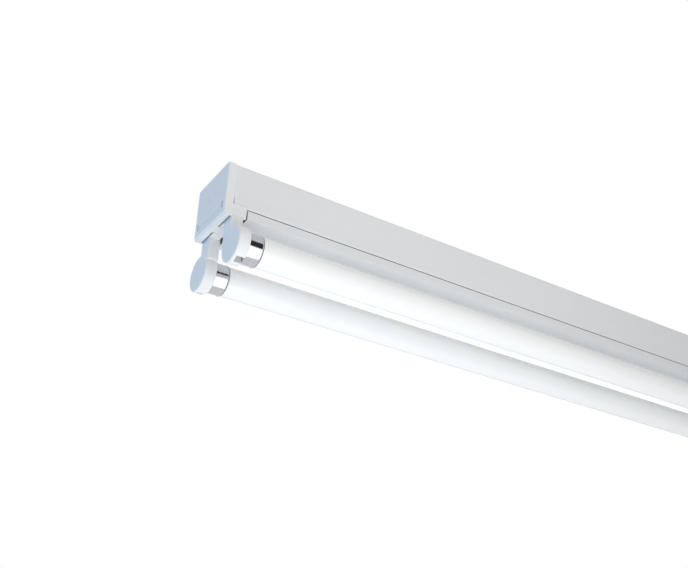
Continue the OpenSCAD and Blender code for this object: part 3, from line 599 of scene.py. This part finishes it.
def screw_tree(material):
    """Clamp screws in a grid: plain cylinders, each with a slot across its lower face."""
    # Length of the blade that cuts a slot in screw radii, and its height in slot widths
    blade_radii = 3.0
    blade_slots = 2.0
    # Furthest that a slot stands turned either way, in radians
    most_turn = 0.5
    turn_seed = 5
    tree, given = new_tree("clamp_screws", {
        "Along": "Float", "Across": "Float", "Radius": "Float", "Height": "Float",
        "Slot": "Float"})
    body = add(tree, "GeometryNodeMeshCylinder", {
        "Vertices": SCREW_FACETS, "Radius": given.outputs["Radius"],
        "Depth": given.outputs["Height"]})
    half = add(tree, "ShaderNodeMath", {
        0: given.outputs["Height"], 1: -0.5}, operation="MULTIPLY")
    foot = add(tree, "ShaderNodeCombineXYZ", {"Z": half.outputs["Value"]})
    long = add(tree, "ShaderNodeMath", {
        0: given.outputs["Radius"], 1: blade_radii}, operation="MULTIPLY")
    deep = add(tree, "ShaderNodeMath", {
        0: given.outputs["Slot"], 1: blade_slots}, operation="MULTIPLY")
    blade = add(tree, "ShaderNodeCombineXYZ", {
        "X": long.outputs["Value"], "Y": given.outputs["Slot"], "Z": deep.outputs["Value"]})
    cutter = add(tree, "GeometryNodeMeshCube", {"Size": blade.outputs["Vector"]})
    moved = add(tree, "GeometryNodeTransform", {
        "Geometry": cutter.outputs["Mesh"], "Translation": foot.outputs["Vector"]})
    slotted = add(tree, "GeometryNodeMeshBoolean", {
        "Mesh 1": body.outputs["Mesh"], "Mesh 2": moved.outputs["Geometry"]},
        operation="DIFFERENCE")
    grid = add(tree, "GeometryNodeMeshGrid", {
        "Size X": given.outputs["Along"], "Size Y": given.outputs["Across"],
        "Vertices X": SCREWS_PER_POLE, "Vertices Y": POLES})
    turn = add(tree, "FunctionNodeRandomValue", {
        "Min": -most_turn, "Max": most_turn, "Seed": turn_seed})
    angle = add(tree, "ShaderNodeCombineXYZ", {"Z": turn.outputs["Value"]})
    placed = add(tree, "GeometryNodeInstanceOnPoints", {
        "Points": grid.outputs["Mesh"], "Instance": slotted.outputs["Mesh"],
        "Rotation": angle.outputs["Vector"]})
    close_tree(tree, placed.outputs["Instances"], material)
    return tree


class BATTEN_OT_housing(bpy.types.Operator):
    """Finish the folded steel spine, cover and bridges, and lay dark rubber cords in the cover
    joint as painted shade of the joint
    """
    bl_idname = "batten.housing"
    bl_label = "Housing"

    def execute(self, context):
        dress(["spine", "cover", "bridge_left", "bridge_right"], stove_enamel())
        given = sizes()
        rubber = shared(moulded_rubber)
        low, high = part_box("cover")
        outer = given.seal_radius
        bore = outer / 3
        profile = [(low.x, bore), (low.x, outer), (high.x, outer), (high.x, bore)]
        # Painted shade: a dark rubber cord along each side of the cover joint stands in for the
        # joint's shadow line
        for side, across in (("front", -given.seal_across), ("rear", given.seal_across)):
            shadow_cord = turned(f"cover_joint_shadow_cord_{side}", profile, across, given.seal_drop, rubber)
            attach(shadow_cord, "housing")
        return {"FINISHED"}


class BATTEN_OT_mouldings(bpy.types.Operator):
    """Finish the end caps, wire clips, lampholders, rotors and contacts"""
    bl_idname = "batten.mouldings"
    bl_label = "End caps and lampholders"

    def execute(self, context):
        white = colours().moulding
        dress([f"end_cap_{end}" for end in ENDS] + ["wire_clips"],
              moulded_polycarbonate("end_cap_polycarbonate", white, 0.6))
        dress(of_each("holder_body") + of_each("holder_back"),
              moulded_polycarbonate("lampholder_polycarbonate", white, 0.45))
        dress(of_each("rotor"),
              moulded_polycarbonate("rotor_polycarbonate", colours().rotor, 0.4))
        dress(of_each("contact"), rolled_bronze())
        return {"FINISHED"}


class BATTEN_OT_lamps(bpy.types.Operator):
    """Finish the glass tubes, ferrules, base discs and pins, and run cement behind the ferrules"""
    bl_idname = "batten.lamps"
    bl_label = "Lamps"

    def execute(self, context):
        dress([f"lamp_tube_{side}" for side in SIDES], coated_glass())
        dress(of_each("ferrule"), drawn_aluminium())
        dress(of_each("base_disc"), pressed_insulator())
        dress([f"lamp_pins_{side}" for side in SIDES], shared(turned_brass))
        given = sizes()
        cement = lamp_cement()
        # How far a ring laps either side of the ferrule's rim, reaches into it and is sloped
        lap = 0.2 * MM
        depth = 1.0 * MM
        ease = given.cement_width / 4
        for side in SIDES:
            for end, inward in (("left", 1), ("right", -1)):
                low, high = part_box(f"ferrule_{side}_{end}")
                rim = high.x if end == "left" else low.x
                edge = rim + inward * given.cement_width
                inner = (high.z - low.z) / 2 - depth
                shoulder = given.cement_radius - ease
                profile = [(rim - inward * lap, inner), (rim - inward * lap, shoulder),
                           (rim + inward * lap, given.cement_radius), (edge, shoulder),
                           (edge, inner)]
                ring = turned(f"cement_{side}_{end}", profile, (low.y + high.y) / 2,
                              -(low.z + high.z) / 2, cement)
                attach(ring, f"lamp_{side}")
        return {"FINISHED"}


class BATTEN_OT_light_sources(bpy.types.Operator):
    """Build the light sources on their strip boards and finish the power supplies"""
    bl_idname = "batten.light_sources"
    bl_label = "Light sources"

    def execute(self, context):
        dress([f"led_board_{side}" for side in SIDES], solder_resist())
        dress([f"lamp_supply_{side}" for side in SIDES], glass_fibre_board())
        given = sizes()
        packages = package_tree(package_white())
        lenses = lens_tree(phosphor_silicone())
        lens_crown = 0.25
        for side in SIDES:
            low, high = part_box(f"led_chips_{side}")
            row = high.x - low.x - given.source_length
            face = given.board_rise - given.source_height
            middle = Matrix.Translation((0, 0, face + given.source_height / 2))
            well_floor = Matrix.Translation((0, 0, face + given.lens_radius * lens_crown))
            package = grown(f"light_packages_{side}", packages, {
                "Count": given.source_count, "Row": row, "Length": given.source_length,
                "Width": given.source_width, "Height": given.source_height,
                "Well Radius": given.lens_radius, "Well Depth": given.source_height / 2},
                lamp_frame(side) @ middle)
            lens = grown(f"light_lenses_{side}", lenses, {
                "Count": given.source_count, "Row": row, "Radius": given.lens_radius,
                "Crown": lens_crown}, lamp_frame(side) @ well_floor)
            for piece in (package, lens):
                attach(piece, f"lamp_{side}")
            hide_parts(f"led_chips_{side}")
        return {"FINISHED"}


class BATTEN_OT_fasteners(bpy.types.Operator):
    """Finish the quarter turn fasteners of the cover, their washers and the earth stud"""
    bl_idname = "batten.fasteners"
    bl_label = "Cover fasteners and earth stud"

    def execute(self, context):
        dress([f"{kind}_{end}" for kind in ("cover_fastener", "fastener_washer")
               for end in ENDS] + ["earth_stud"], shared(zinc_plate))
        return {"FINISHED"}


class BATTEN_OT_wiring(bpy.types.Operator):
    """Finish the terminal block, earth nut, grommet and wires, and build the clamp screws"""
    bl_idname = "batten.wiring"
    bl_label = "Wiring"

    def execute(self, context):
        dress(["terminal_block"], moulded_polyamide())
        dress(["earth_nut"], shared(turned_brass))
        dress(["cable_grommet"], shared(moulded_rubber))
        dress(["wires_left"], wire_insulation("brown_insulation", colours().brown))
        dress(["wires_right"], wire_insulation("blue_insulation", colours().blue))
        dress(["wire_earth"], striped_insulation())
        given = sizes()
        low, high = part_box("terminal_screws")
        middle = (low + high) / 2
        screws = grown("clamp_screws", screw_tree(shared(zinc_plate)), {
            "Along": given.screw_pitch, "Across": (POLES - 1) * given.pole_pitch,
            "Radius": given.screw_radius, "Height": high.z - low.z, "Slot": given.screw_slot},
            Matrix.Translation(middle))
        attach(screws, "housing")
        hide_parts("terminal_screws")
        return {"FINISHED"}


def soft_light(name, power, tint, place, target, width):
    """A square soft light at a place, facing a target and left out of reflections."""
    data = bpy.data.lights.new(name, "AREA")
    data.shape = "SQUARE"
    data.size = width
    data.energy = power
    data.color = tint[:3]
    lamp = bpy.data.objects.new(name, data)
    bpy.context.scene.collection.objects.link(lamp)
    lamp.location = place
    lamp.rotation_euler = (target - place).to_track_quat("-Z", "Y").to_euler()
    lamp.visible_glossy = False


def backdrop_white():
    """Matt white studio paper: even, with the faint tooth of paper."""
    base = colours().backdrop
    finish = Finish("backdrop_white", shade(base, 0.94), 0.9)
    finish.relief(finish.grain(2.0), 0.05)
    return finish.material


def black_card():
    """Matt black card that photographers stand beside bright metal: a deep fibrous grey."""
    finish = Finish("black_card", colours().card, 0.9)
    finish.blend(finish.grain(3.0, detail=3.0), colours().card, shade(colours().card, 1.5))
    return finish.material


def white_screen():
    """Translucent cloth lit from behind: an even white glow over a slightly uneven cloth."""
    base = colours().backdrop
    finish = Finish("white_screen", base, 0.9)
    cloth = finish.grain(4.0)
    finish.blend(cloth, shade(base, 0.97), base)
    finish.shader.inputs["Emission Color"].default_value = base
    finish.shader.inputs["Emission Strength"].default_value = studio().screen_glow
    return finish.material


def graded(tree, height, low, high, tint):
    """Background light that fades from one strength near the horizon to another higher up."""
    fade_start = 0.1
    fade_end = 0.5
    fading = add(tree, "ShaderNodeMapRange", {
        "Value": height, "From Min": fade_start, "From Max": fade_end, "To Min": low,
        "To Max": high})
    return add(tree, "ShaderNodeBackground", {
        "Color": tint, "Strength": fading.outputs["Result"]}).outputs["Background"]


def white_sky():
    """Light dim below and brighter above, a sky of its own in reflections, white to see."""
    given = studio()
    tints = colours()
    world = bpy.data.worlds.new("studio_sky")
    world.use_nodes = True
    tree = world.node_tree
    tree.nodes.clear()
    path = add(tree, "ShaderNodeLightPath")
    direction = add(tree, "ShaderNodeTexCoord").outputs["Generated"]
    height = add(tree, "ShaderNodeSeparateXYZ", {"Vector": direction}).outputs["Z"]
    white = add(tree, "ShaderNodeBackground", {"Color": tints.backdrop, "Strength": 1.0})
    lighting = graded(tree, height, given.sky, given.ceiling, tints.sky)
    mirrored = graded(
        tree, height, given.mirrored_sky, given.mirrored_ceiling, tints.mirrored_sky)
    lit = add(tree, "ShaderNodeMixShader", {
        0: path.outputs["Is Glossy Ray"], 1: lighting, 2: mirrored})
    clear = add(tree, "ShaderNodeMath", {
        0: path.outputs["Is Camera Ray"], 1: path.outputs["Is Transmission Ray"]},
        operation="MAXIMUM")
    shown = add(tree, "ShaderNodeMixShader", {
        0: clear.outputs["Value"], 1: lit.outputs["Shader"], 2: white.outputs["Background"]})
    output = add(tree, "ShaderNodeOutputWorld")
    tree.links.new(shown.outputs["Shader"], output.inputs["Surface"])
    return world


def stage_sheet(name, middle, half_width, half_height, material):
    """A flat rectangular sheet that stands in the studio and isn't part of the batten."""
    mesh = bpy.data.meshes.new(name)
    corners = [middle + x * half_width + y * half_height
               for x, y in ((-1, -1), (1, -1), (1, 1), (-1, 1))]
    mesh.from_pydata(corners, [], [(0, 1, 2, 3)])
    mesh.materials.append(material)
    sheet = bpy.data.objects.new(name, mesh)
    bpy.context.scene.collection.objects.link(sheet)
    return sheet


def left_end():
    """Middle of the left end cap's outer face."""
    low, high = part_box("end_cap_left")
    return Vector((low.x, 0, (low.z + high.z) / 2))


class BATTEN_OT_studio(bpy.types.Operator):
    """Build the floor, the sky, the card and screen, the soft lights and the camera"""
    bl_idname = "batten.studio"
    bl_label = "Studio"

    def execute(self, context):
        given = studio()
        tints = colours()
        scene = context.scene
        scene.world = white_sky()
        origin = left_end()
        floor = stage_sheet(
            "studio_floor", Vector((0, 0, -given.floor_drop)), Vector((given.floor_half, 0, 0)),
            Vector((0, given.floor_half, 0)), backdrop_white())
        floor.visible_glossy = False
        half_width = Vector((given.card_half, 0, 0))
        for name, place, rise, material in (
                ("studio_card", given.card_place, given.card_rise, black_card()),
                ("studio_reflector", given.screen_place, given.screen_rise, white_screen())):
            card = stage_sheet(name, origin + place, half_width, rise, material)
            card.visible_diffuse = False
            card.visible_camera = False
        white = tints.lamplight
        for name, power, tint, place, width in (
                ("key_light", given.key_power, white, given.key_place, given.key_width),
                ("side_light", given.side_power, white, given.side_place, given.side_width),
                ("rear_light", given.rear_power, white, given.rear_place, given.rear_width),
                ("end_light", given.end_power, tints.daylight, given.end_place,
                 given.end_width)):
            soft_light(name, power, tint, origin + place, origin, width)
        camera_data = bpy.data.cameras.new("studio_camera")
        camera_data.lens = given.lens
        camera_data.sensor_width = SENSOR_WIDTH
        camera_data.clip_start = CLIP_START
        camera = bpy.data.objects.new("studio_camera", camera_data)
        scene.collection.objects.link(camera)
        camera.location = given.camera_place
        camera.rotation_euler = given.camera_turn
        scene.camera = camera
        scene.view_settings.view_transform = "Standard"
        return {"FINISHED"}


PIECE_OPERATORS = (
    BATTEN_OT_housing,
    BATTEN_OT_mouldings,
    BATTEN_OT_lamps,
    BATTEN_OT_light_sources,
    BATTEN_OT_fasteners,
    BATTEN_OT_wiring,
    BATTEN_OT_studio,
)


class BATTEN_PT_panel(bpy.types.Panel):
    """Lists the batten's pieces in the sidebar"""
    bl_idname = "BATTEN_PT_panel"
    bl_label = "Tube Light Batten"
    bl_space_type = "VIEW_3D"
    bl_region_type = "UI"
    bl_category = "Batten"

    def draw(self, context):
        for operator in PIECE_OPERATORS:
            self.layout.operator(operator.bl_idname)
        for group in (sizes(), colours(), studio()):
            box = self.layout.box()
            for name in group.__annotations__:
                box.prop(group, name)


GROUPS = {
    "batten_sizes": BattenSizes,
    "batten_colours": BattenColours,
    "batten_studio": BattenStudio,
}
CLASSES = (*GROUPS.values(), *PIECE_OPERATORS, BATTEN_PT_panel)


def register():
    for cls in CLASSES:
        bpy.utils.register_class(cls)
    for name, group in GROUPS.items():
        setattr(bpy.types.Scene, name, bpy.props.PointerProperty(type=group))


def unregister():
    for name in GROUPS:
        delattr(bpy.types.Scene, name)
    for cls in reversed(CLASSES):
        bpy.utils.unregister_class(cls)


def main():
    register()
    for operator in PIECE_OPERATORS:
        family, name = operator.bl_idname.split(".")
        getattr(getattr(bpy.ops, family), name)()


if __name__ == "__main__":
    main()
